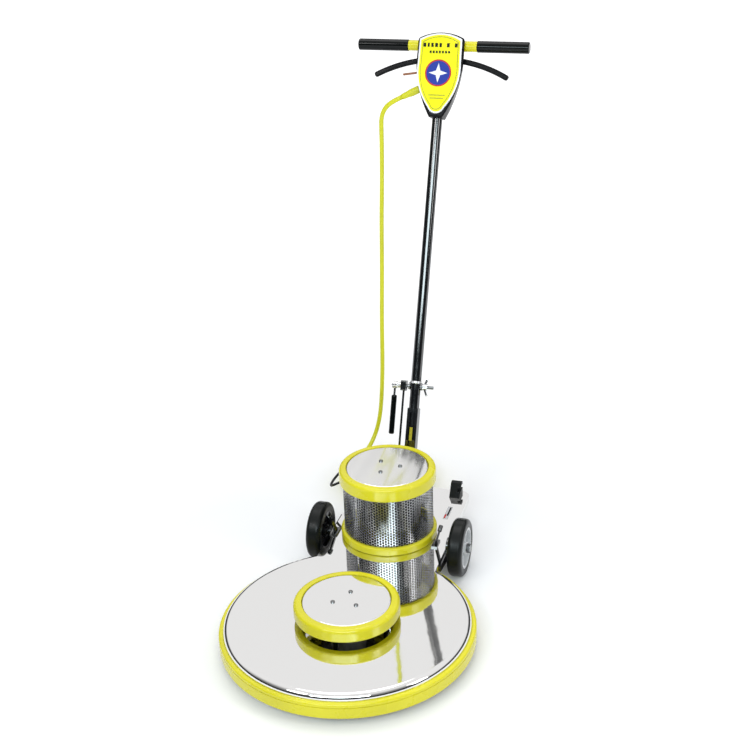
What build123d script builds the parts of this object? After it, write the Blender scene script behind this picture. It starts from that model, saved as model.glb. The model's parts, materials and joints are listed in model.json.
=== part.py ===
from build123d import *
import os
from math import atan2, cos, degrees, pi, radians, sin, sqrt, tan

# Belt-driven high-speed floor machine. Millimetres. The origin is on the pad's axis at floor level,
# +Z is up, the front is -Y, the operator stands behind at +Y, and +X is the machine's side on the
# right of somebody who faces its front.

# Deck
PAD_R = 254.0                 # a 20 inch floor pad
PAD_THICK = 25.0
BUMPER_R = 286.0
BUMPER_LOW, BUMPER_HIGH = 21.0, 58.5
SKIRT_R = 276.0
DECK_Z = 72.5                 # the mirror-polished top
SHEET = 3.0
ROLL_R = 14.0                 # the rolled edge between the top and the skirt
TAIL_HALF = 145.0
TAIL_REAR = 600.0
TAIL_FRONT = 250.0            # where the tail's side flanges start, clear of the bumper
FLANGE_LOW = 54.0
BELT_SLOT_HALF = 75.0
GAP = 0.3                     # between bodies that move past each other

# Pad drive
SPINDLE_R = 8.5
PAD_PULLEY_R, MOTOR_PULLEY_R = 48.0, 30.0
PULLEY_LOW, PULLEY_HIGH = 41.0, 54.0
BELT_THICK = 4.0

# Spindle cap
CAP_R, CAP_DISC_R = 118.2, 99.7
CAP_LOW, CAP_HIGH = 87.5, 118.5
COVER_SCREW_R = 31.0          # the circle that the three screws of each cover sit on

# Motor tower
MOTOR_X, MOTOR_Y = -8.0, 370.0
MOTOR_RING_R, SCREEN_R = 117.0, 108.7
BASE_RING_HIGH = 92.0
TOP_RING_LOW, TOP_RING_HIGH = 219.3, 253.0
MOTOR_SHAFT_R = 7.0
CAN_R = 78.0

# Wheels
WHEEL_X, WHEEL_Y, WHEEL_R, WHEEL_W = 176.0, 340.0, 70.0, 35.7
HUB_R, AXLE_R = 50.0, 7.0

# Handle: its frame has X across, Y up the tube from the pivot, and Z towards the front
PIVOT_Y, PIVOT_Z = 507.7, 95.3
LEAN = 23.0
TUBE_R = 13.0
SOCKET_TOP = 223.0
CLAMP_AT = 278.0              # the cross bolt with the release lever
BAR_AT, BAR_HALF = 1132.0, 217.0
GRIP_R, GRIP_LONG = 14.3, 131.0
HOUSING_LOW, HOUSING_SHOULDER, HOUSING_CORNER, HOUSING_HIGH = 952.0, 1085.0, 1146.0, 1161.0
HOUSING_HALF, HOUSING_NECK, HOUSING_DEEP, WALL = 61.0, 17.5, 26.0, 3.0
HOUSING_BACK = 0.815          # how much narrower the housing is at its back
LEVER_AT, LEVER_X = 1100.0, 40.0
ROD_X, LEVER_HANG_X = -30.5, -54.0
CABLE_HOLE = (-98.0, 548.0)   # where the motor's lead goes down through the tail

# Mains cord
CORD_D = 12.0
COIL_X, COIL_Y = -119.0, 728.0
COIL_OUTER, COIL_INNER, COIL_HIGH = 125.0, 51.0, 50.0
RELIEF_ROOT, RELIEF_END = (-51.0, 1024.5), (-96.0, 1002.4)   # across, up the handle
PLUG_Y = 587.0

os.makedirs("parts", exist_ok=True)
handle = Plane(origin=(0, PIVOT_Y, PIVOT_Z), x_dir=(1, 0, 0),
               z_dir=(0, -cos(radians(LEAN)), sin(radians(LEAN))))


def save(name, part):
    export_step(part, f"parts/{name}.step")


def disc(r, z0, z1, x=0.0, y=0.0):
    return Pos(x, y, z0) * extrude(Circle(r), z1 - z0)


def ring(r_out, r_in, z0, z1, x=0.0, y=0.0):
    return Pos(x, y, z0) * extrude(Circle(r_out) - Circle(r_in), z1 - z0)


def block(x0, x1, y0, y1, z0, z1):
    return Pos((x0 + x1) / 2, (y0 + y1) / 2, (z0 + z1) / 2) * Box(x1 - x0, y1 - y0, z1 - z0)


def rod(a, b, r, r_end=None):
    """A round bar from a to b, or a cone where r_end is given."""
    a, b = Vector(*a), Vector(*b)
    base = Plane(origin=a, z_dir=b - a)
    if r_end is None:
        return base * extrude(Circle(r), (b - a).length)
    far = Plane(origin=b, z_dir=b - a)
    return loft([base * Circle(r), far * Circle(r_end)])


def across(x0, x1, y, z, r, hole=0.0):
    """A round piece along X."""
    face = Circle(r) - Circle(hole) if hole else Circle(r)
    return Plane(origin=(x0, y, z), x_dir=(0, 1, 0), z_dir=(1, 0, 0)) * extrude(face, x1 - x0)


def turned(points, x=0.0, y=0.0):
    """A turned piece from its half section, as (radius, height) points."""
    section = Plane.XZ * Polygon(*points, align=None)
    return Pos(x, y, 0) * revolve(section, Axis.Z)


def group(parts):
    return Compound(children=list(parts))


def on_circle(r, count, start=0.0, x=0.0, y=0.0):
    step = 360.0 / count
    return [(x + r * cos(radians(start + i * step)), y + r * sin(radians(start + i * step)))
            for i in range(count)]


def on_handle(x, up, front=0.0):
    """A point of the handle's frame, in the machine's frame."""
    return handle.from_local_coords(Vector(x, up, front))


# ---- deck ------------------------------------------------------------------------------------

def deck_shell():
    with BuildPart() as dome:
        with BuildSketch(Plane.XZ):
            with BuildLine():
                inner_roll = ROLL_R - SHEET
                Line((30.5, DECK_Z), (SKIRT_R - ROLL_R, DECK_Z))
                RadiusArc((SKIRT_R - ROLL_R, DECK_Z), (SKIRT_R, DECK_Z - ROLL_R), ROLL_R)
                Line((SKIRT_R, DECK_Z - ROLL_R), (SKIRT_R, BUMPER_LOW + 2))
                Line((SKIRT_R, BUMPER_LOW + 2), (SKIRT_R - SHEET, BUMPER_LOW + 2))
                Line((SKIRT_R - SHEET, BUMPER_LOW + 2), (SKIRT_R - SHEET, DECK_Z - ROLL_R))
                RadiusArc((SKIRT_R - SHEET, DECK_Z - ROLL_R), (SKIRT_R - ROLL_R, DECK_Z - SHEET), -inner_roll)
                Line((SKIRT_R - ROLL_R, DECK_Z - SHEET), (30.5, DECK_Z - SHEET))
                Line((30.5, DECK_Z - SHEET), (30.5, DECK_Z))
            make_face()
        revolve(axis=Axis.Z)
    shell = dome.part - block(-BELT_SLOT_HALF, BELT_SLOT_HALF, 200, 300, 0, DECK_Z - SHEET)
    plate = block(-TAIL_HALF, TAIL_HALF, 190, TAIL_REAR, DECK_Z - SHEET, DECK_Z)
    plate = fillet(plate.edges().filter_by(Axis.Z).group_by(Axis.Y)[-1], 24)
    rim = block(-TAIL_HALF, TAIL_HALF, TAIL_FRONT, TAIL_REAR, FLANGE_LOW, DECK_Z)
    rim = fillet(rim.edges().filter_by(Axis.Z).group_by(Axis.Y)[-1], 24)
    inside = block(-TAIL_HALF + SHEET, TAIL_HALF - SHEET, TAIL_FRONT - 1, TAIL_REAR - SHEET, 0, DECK_Z - SHEET)
    inside = fillet(inside.edges().filter_by(Axis.Z).group_by(Axis.Y)[-1], 21)
    shell = shell + plate + (rim - inside)
    return shell - disc(40, 0, 200, MOTOR_X, MOTOR_Y) - disc(3.6, 0, 200, *CABLE_HOLE)


def bumper_ring():
    hoop = ring(BUMPER_R, SKIRT_R + GAP, BUMPER_LOW, BUMPER_HIGH)
    hoop = fillet(hoop.edges().filter_by(GeomType.CIRCLE).group_by(SortBy.RADIUS)[-1], 5)
    hoop -= ring(BUMPER_R + 5, BUMPER_R - 1.3, BUMPER_HIGH - 10, BUMPER_HIGH - 8)
    return hoop - block(-BELT_SLOT_HALF, BELT_SLOT_HALF, 200, 300, 0, 100)


def spindle_housing():
    return turned([(17.52, 57), (29.5, 57), (29.5, 72.7), (60, 72.7), (60, 79), (40, 82), (38, 112.9),
                   (12, 112.9), (12, 104.1), (17.52, 104.1)])


def cover_disc(r, z0, z1, x=0.0, y=0.0, screws_from=90.0):
    """A polished cover with a rolled edge and three screw holes."""
    plate = disc(r, z0, z1, x, y)
    plate = fillet(plate.edges().filter_by(GeomType.CIRCLE).group_by(Axis.Z)[-1], 4.2)
    for px, py in on_circle(COVER_SCREW_R, 3, screws_from, x, y):
        plate -= disc(3.2, z0 - 1, z1 + 1, px, py)
    return plate


def cap_ring():
    hoop = turned([(104, CAP_LOW), (CAP_R, CAP_LOW), (CAP_R, CAP_HIGH), (CAP_DISC_R + 0.2, CAP_HIGH),
                   (CAP_DISC_R + 0.2, CAP_HIGH - 5.4), (95, CAP_HIGH - 5.4), (95, CAP_HIGH - 9), (104, CAP_HIGH - 13)])
    return soft_rim(hoop, CAP_R, 9, 4)


def soft_rim(hoop, r, top, bottom):
    """Rounds a cover ring's two outer edges."""
    outer = hoop.edges().filter_by(GeomType.CIRCLE).filter_by(lambda e: abs(e.radius - r) < 0.01)
    hoop = fillet(outer.group_by(Axis.Z)[-1], top)
    outer = hoop.edges().filter_by(GeomType.CIRCLE).filter_by(lambda e: abs(e.radius - r) < 0.01)
    return fillet(outer.group_by(Axis.Z)[0], bottom)


def cover_screws():
    screws = []
    for x, y, z, start in ((0, 0, CAP_HIGH - 0.6, 90), (MOTOR_X, MOTOR_Y, TOP_RING_HIGH - 0.6, 15)):
        for px, py in on_circle(COVER_SCREW_R, 3, start, x, y):
            dome = disc(5, z + 0.05, z + 3, px, py)
            dome = fillet(dome.edges().group_by(Axis.Z)[-1], 2)
            screws.append(dome + disc(3, z - 3.6, z + 0.1, px, py))
    return group(screws)


def deck():
    save("deck_shell", deck_shell())
    save("bumper_ring", bumper_ring())
    save("spindle_housing", spindle_housing())
    save("cap_posts", group(disc(6, DECK_Z + 0.1, CAP_HIGH - 5.4, x, y) for x, y in on_circle(87, 3, 30)))
    save("cap_ring", cap_ring())
    save("cap_disc", cover_disc(CAP_DISC_R, CAP_HIGH - 5.2, CAP_HIGH - 0.6))
    save("cover_screws", cover_screws())
    tray = block(-66, 66, 290, 425, 36, DECK_Z - SHEET - 0.2) - block(-63, 63, 280, 422, 39, 80)
    save("belt_guard", tray)


# ---- pad drive -------------------------------------------------------------------------------

def belt_loop(extra):
    """The flat outline round both pulleys, extra outside their rims."""
    far = sqrt(MOTOR_X ** 2 + MOTOR_Y ** 2)
    line = atan2(MOTOR_Y, MOTOR_X)
    turn = pi / 2 - atan2(PAD_PULLEY_R - MOTOR_PULLEY_R, far)
    big, small = PAD_PULLEY_R + extra, MOTOR_PULLEY_R + extra
    corners = [(big * cos(line + turn), big * sin(line + turn)),
               (big * cos(line - turn), big * sin(line - turn)),
               (MOTOR_X + small * cos(line - turn), MOTOR_Y + small * sin(line - turn)),
               (MOTOR_X + small * cos(line + turn), MOTOR_Y + small * sin(line + turn))]
    return Circle(big) + Pos(MOTOR_X, MOTOR_Y) * Circle(small) + Polygon(*corners, align=None)


def pulley(r, bore, x=0.0, y=0.0):
    """A grooved belt pulley with a lightened web and a hub."""
    body = ring(r, bore, PULLEY_LOW, PULLEY_HIGH, x, y)
    for z in (PULLEY_LOW + 3.0, PULLEY_LOW + 6.5, PULLEY_LOW + 10.0):
        body -= ring(r + 1, r - 1.6, z - 0.7, z + 0.7, x, y)
    return body


def pad_drive():
    shaft = disc(SPINDLE_R, 27, 103.9)
    save("spindle_shaft", shaft)
    web = ring(PAD_PULLEY_R - 8, 18, PULLEY_LOW + 9, PULLEY_HIGH + 1)
    save("pad_pulley", pulley(PAD_PULLEY_R, SPINDLE_R + 0.02) - web)
    driver = disc(245, 25.2, 33) + disc(60, 33, 40.6) - disc(SPINDLE_R + 0.02, 26.9, 60)
    driver -= disc(20, 25, 26.9)
    save("pad_driver", fillet(driver.edges().filter_by(lambda e: abs(e.radius - 245) < 0.1
                              if e.geom_type == GeomType.CIRCLE else False), 2))
    pad = disc(PAD_R, 0, PAD_THICK)
    save("floor_pad", fillet(pad.edges().filter_by(GeomType.CIRCLE), 3))
    belt = belt_loop(BELT_THICK + GAP) - belt_loop(GAP)
    save("drive_belt", Pos(0, 0, PULLEY_LOW + 0.5) * extrude(belt, PULLEY_HIGH - PULLEY_LOW - 1))
    bearings = [ring(17.5, SPINDLE_R + 0.05, z, z + 10) for z in (58, 94)]
    bearings += [ring(16, MOTOR_SHAFT_R + 0.05, z, z + 9, MOTOR_X, MOTOR_Y) for z in (73, 206)]
    save("ball_bearings", group(bearings))


# ---- motor -----------------------------------------------------------------------------------

def motor_can():
    x, y = MOTOR_X, MOTOR_Y
    can = turned([(16.05, 72.7), (100, 72.7), (100, 79), (CAN_R, 82), (CAN_R, 214), (66, 224), (38, 226),
                  (36, TOP_RING_HIGH - 5.3), (8, TOP_RING_HIGH - 5.3), (8, 215.1), (16.05, 215.1), (16.05, 205),
                  (22, 205), (22, 202), (CAN_R - 4, 202), (CAN_R - 4, 84), (16.05, 84)], x, y)
    for px, py in on_circle(CAN_R - 2, 10, 18, x, y):
        can -= Pos(px, py, 190) * Box(14, 14, 12)
    return can


def cooling_fan():
    x, y = MOTOR_X, MOTOR_Y
    fan = ring(70, MOTOR_SHAFT_R + 0.02, 86, 88, x, y) + ring(16, MOTOR_SHAFT_R + 0.02, 88, 97, x, y)
    for i in range(10):
        fan += Pos(x, y, 92) * Rot(0, 0, 36 * i) * Pos(43, 0, 0) * Box(52, 2.4, 9)
    return fan


def motor():
    x, y = MOTOR_X, MOTOR_Y
    base = ring(MOTOR_RING_R, SCREEN_R + 0.2, DECK_Z + 0.1, BASE_RING_HIGH, x, y)
    save("motor_base_ring", soft_rim(base, MOTOR_RING_R, 5, 3))
    save("motor_screen", ring(SCREEN_R, SCREEN_R - 1.2, DECK_Z + 0.2, TOP_RING_LOW + 16, x, y))
    top = turned([(SCREEN_R + 0.2, TOP_RING_LOW), (MOTOR_RING_R, TOP_RING_LOW), (MOTOR_RING_R, TOP_RING_HIGH),
                  (CAP_DISC_R + 0.4, TOP_RING_HIGH), (CAP_DISC_R + 0.4, TOP_RING_HIGH - 5.4),
                  (95, TOP_RING_HIGH - 5.4), (95, TOP_RING_HIGH - 9), (SCREEN_R + 0.2, TOP_RING_HIGH - 16)], x, y)
    save("motor_top_ring", soft_rim(top, MOTOR_RING_R, 8, 3))
    save("motor_top_disc", cover_disc(CAP_DISC_R, TOP_RING_HIGH - 5.2, TOP_RING_HIGH - 0.6, x, y, 15))
    save("motor_can", motor_can())
    magnets = ring(CAN_R - 4.3, 52, 100, 168, x, y)
    for i in range(2):
        magnets -= Pos(x, y, 134) * Rot(0, 0, 45 + 90 * i) * Box(160, 22, 80)
    save("field_magnets", magnets)
    holders = [Pos(x, y, 180) * Rot(0, 0, 180 * i) * Pos(40, 0, 0) * Box(36, 16, 14) for i in range(2)]
    save("brush_holders", group(holders))
    bridge = Pos(x, y, 150) * Rot(0, 0, 200) * Pos(91.5, 0, 0) * Box(18, 44, 50)
    save("rectifier", fillet(bridge.edges().filter_by(Axis.Z), 2))
    save("motor_shaft", disc(MOTOR_SHAFT_R, 41, 214.9, x, y))
    armature = ring(48, MOTOR_SHAFT_R + 0.02, 102, 165, x, y) + ring(20, MOTOR_SHAFT_R + 0.02, 165, 190, x, y)
    for px, py in on_circle(48, 16, 0, x, y):
        armature -= disc(2.2, 100, 166, px, py)
    save("armature", armature)
    save("cooling_fan", cooling_fan())
    save("motor_pulley", pulley(MOTOR_PULLEY_R, MOTOR_SHAFT_R + 0.02, x, y))


# ---- wheels and the tail's fittings ----------------------------------------------------------

def wheel_plate(side):
    """The black plate beside the tail that carries one stub axle."""
    outline = Polygon((TAIL_FRONT + 2, 66), (TAIL_FRONT + 2, 52), (300, 42), (385, 42), (425, 58), (425, 68),
                      align=None)
    outline += Pos(WHEEL_Y, WHEEL_R) * Circle(20)
    outline -= Pos(WHEEL_Y, WHEEL_R) * Circle(AXLE_R + 0.02)
    for y in (275, 405):
        outline -= Pos(y, 61) * Circle(3.2)
    plate = Plane(origin=(TAIL_HALF + 0.1, 0, 0), x_dir=(0, 1, 0), z_dir=(1, 0, 0)) * extrude(outline, 5)
    return plate if side > 0 else mirror(plate, about=Plane.YZ)


def stub_axle(side):
    x0, x1 = TAIL_HALF + 5.2, WHEEL_X + WHEEL_W / 2
    bolt = across(TAIL_HALF + 0.2, x1 + 8, WHEEL_Y, WHEEL_R, AXLE_R)
    bolt += across(x0, x0 + 7.5, WHEEL_Y, WHEEL_R, 12)
    bolt += across(x1 + 0.8, x1 + 2.4, WHEEL_Y, WHEEL_R, 12)
    nut = Plane(origin=(x1 + 2.4, WHEEL_Y, WHEEL_R), x_dir=(0, 1, 0), z_dir=(1, 0, 0))
    bolt += nut * extrude(RegularPolygon(11, 6), 6)
    return bolt if side > 0 else mirror(bolt, about=Plane.YZ)


def wheel_pieces(side):
    """One wheel's hub and tyre, turned about X."""
    outer, inner = WHEEL_W / 2, HUB_R
    face = Plane(origin=(side * WHEEL_X, WHEEL_Y, WHEEL_R), x_dir=(0, 1, 0), z_dir=(side, 0, 0))
    half = outer - 0.9
    hub = extrude(Circle(inner - 0.1) - Circle(AXLE_R + 0.06), half, both=True)
    hub -= Pos(0, 0, 4) * extrude(Circle(inner - 6) - Circle(15), outer)
    hub -= Pos(0, 0, -4) * extrude(Circle(inner - 6) - Circle(15), -outer)
    for i in range(5):
        window = Rot(0, 0, 72 * i) * Pos(30, 0, 0) * extrude(Circle(7.5), 10, both=True)
        rib = Rot(0, 0, 72 * i + 36) * Pos(29.5, 0, 7) * Box(31, 4, 8)
        hub = hub - window + rib
    tyre = extrude(Circle(WHEEL_R) - Circle(inner), outer, both=True)
    tread = tyre.edges().filter_by(GeomType.CIRCLE).filter_by(lambda e: abs(e.radius - WHEEL_R) < 0.01)
    tyre = fillet(tread, 10)
    return face * hub, face * tyre


def stay_bar(x, tilt):
    bar = Pos(x, 335, DECK_Z + 3.1) * Rot(12, tilt, 0) * Pos(0, 0, 25) * Box(5, 12, 50)
    knob = Pos(x, 335, DECK_Z + 3.1) * Rot(12, tilt, 0) * Pos(0, 0, 53) * Box(10, 16, 12)
    knob = fillet(knob.edges(), 3)
    return bar + knob + block(x - 7, x + 7, 318, 352, DECK_Z + 0.1, DECK_Z + 4)


def rear_block(side):
    """A rubber rest on the tail's corner, with a sloping front and a notch in its outer side."""
    outline = Polygon((560, DECK_Z + 0.1), (598, DECK_Z + 0.1), (598, DECK_Z + 32), (583, DECK_Z + 32),
                      (573, DECK_Z + 17), align=None)
    foot = Plane(origin=(97, 0, 0), x_dir=(0, 1, 0), z_dir=(1, 0, 0)) * extrude(outline, 27)
    foot = fillet(foot.edges().filter_by(Axis.X).group_by(Axis.Z)[-1], 4)
    foot -= block(116, 130, 550, 610, DECK_Z + 13, DECK_Z + 24)
    return foot if side > 0 else mirror(foot, about=Plane.YZ)


def running_gear():
    save("wheel_brackets", group([wheel_plate(1), wheel_plate(-1)]))
    save("stub_axles", group([stub_axle(1), stub_axle(-1)]))
    for side, name in ((-1, "left"), (1, "right")):
        hub, tyre = wheel_pieces(side)
        save(f"wheel_{name}_hub", hub)
        save(f"wheel_{name}_tyre", tyre)
    save("stay_bars", group([stay_bar(MOTOR_X + 126, 16), stay_bar(MOTOR_X - 126, -16)]))
    save("rear_blocks", group([rear_block(1), rear_block(-1)]))


# ---- handle ----------------------------------------------------------------------------------

def handle_bracket():
    """The base plate with two ears for the pivot and the lock's notched quadrant."""
    plate = block(-48, 48, 492, 546, DECK_Z + 0.1, DECK_Z + 4.5)
    plate = fillet(plate.edges().filter_by(Axis.Z), 6)
    for x in (-19.6, 14.6):
        ear = across(x, x + 5, PIVOT_Y, PIVOT_Z, 15) + block(x, x + 5, PIVOT_Y - 15, PIVOT_Y + 15, DECK_Z + 4, PIVOT_Z)
        plate += ear - across(x - 1, x + 6, PIVOT_Y, PIVOT_Z, 6.05)
    quadrant = across(-33.5, -27.5, PIVOT_Y, PIVOT_Z, 33) - block(-60, 0, 400, 600, 0, DECK_Z + 4)
    quadrant -= block(-60, 0, 400, 493.2, 0, 200)
    for turn in (-20, 0, 20, 40):
        lean = radians(LEAN + turn)
        notch = (-30.5, PIVOT_Y + 33 * sin(lean), PIVOT_Z + 33 * cos(lean))
        quadrant -= across(-40, -20, notch[1], notch[2], 3.4)
    plate += quadrant
    for x, y in ((-40, 500), (40, 500), (-40, 538), (40, 538)):
        plate -= disc(3.3, 60, 80, x, y)
    return plate


def bracket_bolts():
    bolts = []
    for x, y in ((-40, 500), (40, 500), (-40, 538), (40, 538)):
        head = Pos(x, y, DECK_Z + 4.6) * extrude(RegularPolygon(5.6, 6), 4)
        bolts.append(head + disc(3.2, DECK_Z + 0.2, DECK_Z + 4.7, x, y))
    return group(bolts)


def handle_socket():
    """The black channel that hinges in the bracket and holds the tube's lower end."""
    body = Pos(0, SOCKET_TOP / 2, 0) * Box(28, SOCKET_TOP, 28)
    body = fillet(body.edges().filter_by(Axis.Y), 3)
    body += Pos(-14, 0, 0) * Rot(0, 90, 0) * extrude(Circle(14), 28)
    body -= Pos(0, SOCKET_TOP / 2 + 20, 14) * Box(12, SOCKET_TOP - 60, 6)
    body -= Pos(0, SOCKET_TOP, 0) * Rot(90, 0, 0) * extrude(Circle(TUBE_R + 0.05), 150)
    body -= Plane.YZ * extrude(Circle(6.1), 30, both=True)
    return body


def housing_outline():
    with BuildSketch() as outline:
        with BuildLine():
            ThreePointArc((HOUSING_NECK, HOUSING_LOW), (46, 1012), (HOUSING_HALF, HOUSING_SHOULDER))
            Line((HOUSING_HALF, HOUSING_SHOULDER), (HOUSING_HALF - 1, HOUSING_CORNER))
            ThreePointArc((HOUSING_HALF - 1, HOUSING_CORNER), (0, HOUSING_HIGH), (1 - HOUSING_HALF, HOUSING_CORNER))
            Line((1 - HOUSING_HALF, HOUSING_CORNER), (-HOUSING_HALF, HOUSING_SHOULDER))
            ThreePointArc((-HOUSING_HALF, HOUSING_SHOULDER), (-46, 1012), (-HOUSING_NECK, HOUSING_LOW))
            Line((-HOUSING_NECK, HOUSING_LOW), (HOUSING_NECK, HOUSING_LOW))
        make_face()
        fillet(outline.vertices().group_by(Axis.Y)[-1], 9)
    return outline.sketch


def housing_solid(outline):
    """An outline drawn out from the front to the back, where it is narrower."""
    front = Pos(0, 0, HOUSING_DEEP) * outline
    back = Pos(0, 0, -HOUSING_DEEP) * scale(outline, by=(HOUSING_BACK, 1, 1))
    return loft([back, front], ruled=True)


def housing_half(front):
    """One half of the switch housing, open at the joint line."""
    outline = housing_outline()
    side = 1 if front else -1
    shell = housing_solid(outline) & Pos(0, 1050, side * (HOUSING_DEEP / 2 + 0.1)) * Box(200, 400, HOUSING_DEEP)
    face = shell.faces().sort_by(Axis.Z)[-1 if front else 0]
    shell = fillet(face.edges(), 5)
    inner = housing_solid(offset(outline, -WALL))
    shell -= inner & Pos(0, 1050, 0) * Box(200, 400, 2 * (HOUSING_DEEP - WALL))
    shell -= Pos(0, BAR_AT, 0) * Rot(0, 90, 0) * extrude(Circle(TUBE_R + 0.2), 80, both=True)
    shell -= Pos(0, HOUSING_LOW + 10, 0) * Rot(90, 0, 0) * extrude(Circle(TUBE_R + 0.2), 30, both=True)
    for side in (-1, 1):
        shell -= Pos(side * HOUSING_HALF, LEVER_AT - 8, 0) * Box(40, 46, 11)
    shell -= Pos(-HOUSING_HALF + 3, 1062, 0) * Box(20, 20, 6)
    root, end = Vector(*RELIEF_ROOT, 0), Vector(*RELIEF_END, 0)
    inward = root - (end - root).normalized() * 20
    shell -= Plane(origin=inward, z_dir=end - root) * extrude(Circle(7.2), 45)
    return shell


def face_plate():
    """The yellow name plate on the housing's front."""
    outline = offset(housing_outline(), -9)
    plate = Pos(0, 0, HOUSING_DEEP + 0.05) * extrude(outline, 1.4)
    return plate


def lever_blade(side):
    """A switch lever: a hub on its pin and a blade that curves down and out below the grip."""
    path = ThreePointArc((side * (LEVER_X + 4), LEVER_AT - 4), (side * 108, 1082), (side * 167, 1057))
    section = Plane(origin=path @ 0, x_dir=(0, 0, 1), z_dir=path % 0) * RectangleRounded(9, 14, 4)
    blade = sweep(section, path=path)
    tip = Plane(origin=path @ 1, x_dir=(0, 0, 1), z_dir=path % 1) * extrude(RectangleRounded(9, 14, 4), 4, taper=35)
    blade += tip
    blade += Pos(side * LEVER_X, LEVER_AT, 0) * extrude(Circle(9), 4.5, both=True)
    return blade - Pos(side * LEVER_X, LEVER_AT, 0) * extrude(Circle(3.05), 10, both=True)


def safety_lever():
    blade = Pos(-71, 1062.6, 0) * Rot(0, 0, 8.3) * fillet(Box(54, 5, 4).edges().filter_by(Axis.Z), 2)
    blade += Pos(-43, 1066, 0) * extrude(Circle(6), 2.4, both=True)
    return blade - Pos(-43, 1066, 0) * extrude(Circle(2.05), 10, both=True)


def lever_pins():
    pins = [Pos(side * LEVER_X, LEVER_AT, 0) * extrude(Circle(3), 22.7, both=True) for side in (-1, 1)]
    pins.append(Pos(-43, 1066, 0) * extrude(Circle(2), 22.7, both=True))
    return pins


def grip(side):
    """A moulded grip over one end of the bar, closed at its outer end."""
    start, end = side * (BAR_HALF + 1 - GRIP_LONG), side * (BAR_HALF + 1.5)
    low, high = min(start, end), max(start, end)
    body = Pos(low, BAR_AT, 0) * Rot(0, 90, 0) * extrude(Circle(GRIP_R), high - low)
    body = fillet(body.edges().filter_by(GeomType.CIRCLE), 3)
    bore_low, bore_high = (low - 1, BAR_HALF) if side > 0 else (-BAR_HALF, high + 1)
    return body - Pos(bore_low, BAR_AT, 0) * Rot(0, 90, 0) * extrude(Circle(TUBE_R + 0.05), bore_high - bore_low)


def tube_between(low, high, wall=2.0):
    face = Circle(TUBE_R) - Circle(TUBE_R - wall)
    return Pos(0, high, 0) * Rot(90, 0, 0) * extrude(face, high - low)


def cross_bolt():
    """The bolt through the tube that carries the release lever and the wing nut."""
    bolt = Pos(-62, CLAMP_AT, 0) * Rot(0, 90, 0) * extrude(Circle(4), 108)
    bolt += Pos(-17.5, CLAMP_AT, 0) * Rot(0, 90, 0) * extrude(Circle(9), 4.2)
    return bolt + Pos(13.3, CLAMP_AT, 0) * Rot(0, 90, 0) * extrude(Circle(9), 4.2)


def release_lever():
    """The chrome crank on the cross bolt: an eye, and an arm that hangs beside the tube."""
    eye = Pos(-60, CLAMP_AT, 0) * Rot(0, 90, 0) * extrude(Circle(9), 13)
    arm = rod((LEVER_HANG_X, CLAMP_AT - 4, 0), (LEVER_HANG_X, CLAMP_AT - 98, 0), 3.5)
    crank = Pos(-48, CLAMP_AT, 0) * Rot(0, 90, 0) * extrude(Circle(7), 10)
    return eye + arm + crank - Pos(-70, CLAMP_AT, 0) * Rot(0, 90, 0) * extrude(Circle(4.06), 60)


def release_grip():
    grip_body = rod((LEVER_HANG_X, 252, 0), (LEVER_HANG_X, 152, 0), 7)
    grip_body = fillet(grip_body.edges().filter_by(GeomType.CIRCLE), 4)
    return grip_body - rod((LEVER_HANG_X, 260, 0), (LEVER_HANG_X, CLAMP_AT - 98, 0), 3.55)


def lock_rod():
    """The thin rod from the crank down to the quadrant, with a block at its top."""
    rod_body = rod((ROD_X, 36.5, 0), (ROD_X, 268, 0), 2.8)
    eye = Pos(ROD_X, CLAMP_AT, 0) * Box(14, 26, 18)
    eye = fillet(eye.edges().filter_by(Axis.X), 4)
    eye -= Pos(ROD_X - 10, CLAMP_AT, 0) * Rot(0, 90, 0) * (
        extrude(Pos(0, 0) * Circle(4.4), 20) + extrude(Pos(0, -6) * Circle(4.4), 20) + Pos(0, -3, 10) * Box(8.8, 6, 20))
    return rod_body + eye


def rod_guide():
    guide = Pos(-24.5, 120, 0) * Box(23, 10, 12)
    return guide - Plane(origin=(ROD_X, 0, 0), x_dir=(1, 0, 0), z_dir=(0, 1, 0)) * extrude(Circle(2.9), 300)


def wing_nut():
    hub = Pos(19, CLAMP_AT, 0) * Rot(0, 90, 0) * extrude(Circle(8), 12)
    for turn in (1, -1):
        wing = fillet(Box(5, 20, 9).edges().filter_by(Axis.X), 3)
        hub += Pos(27, CLAMP_AT + turn * 13, 0) * Rot(0, 0, -turn * 22) * wing
    return hub - Pos(0, CLAMP_AT, 0) * Rot(0, 90, 0) * extrude(Circle(4.06), 60)


def strain_relief():
    """A smooth boot where the cord leaves the housing, which narrows in steps to the cord."""
    root, end = Vector(*RELIEF_ROOT, 0), Vector(*RELIEF_END, 0)
    way = (end - root).normalized()
    boot = rod(root - way * 14, root + way, 7.1) + rod(root, root + way * 26, 9.6)
    return boot + rod(root + way * 26, root + way * 34, 9.6, 8.0) + rod(root + way * 34, end, 8.0, 6.8)


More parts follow.
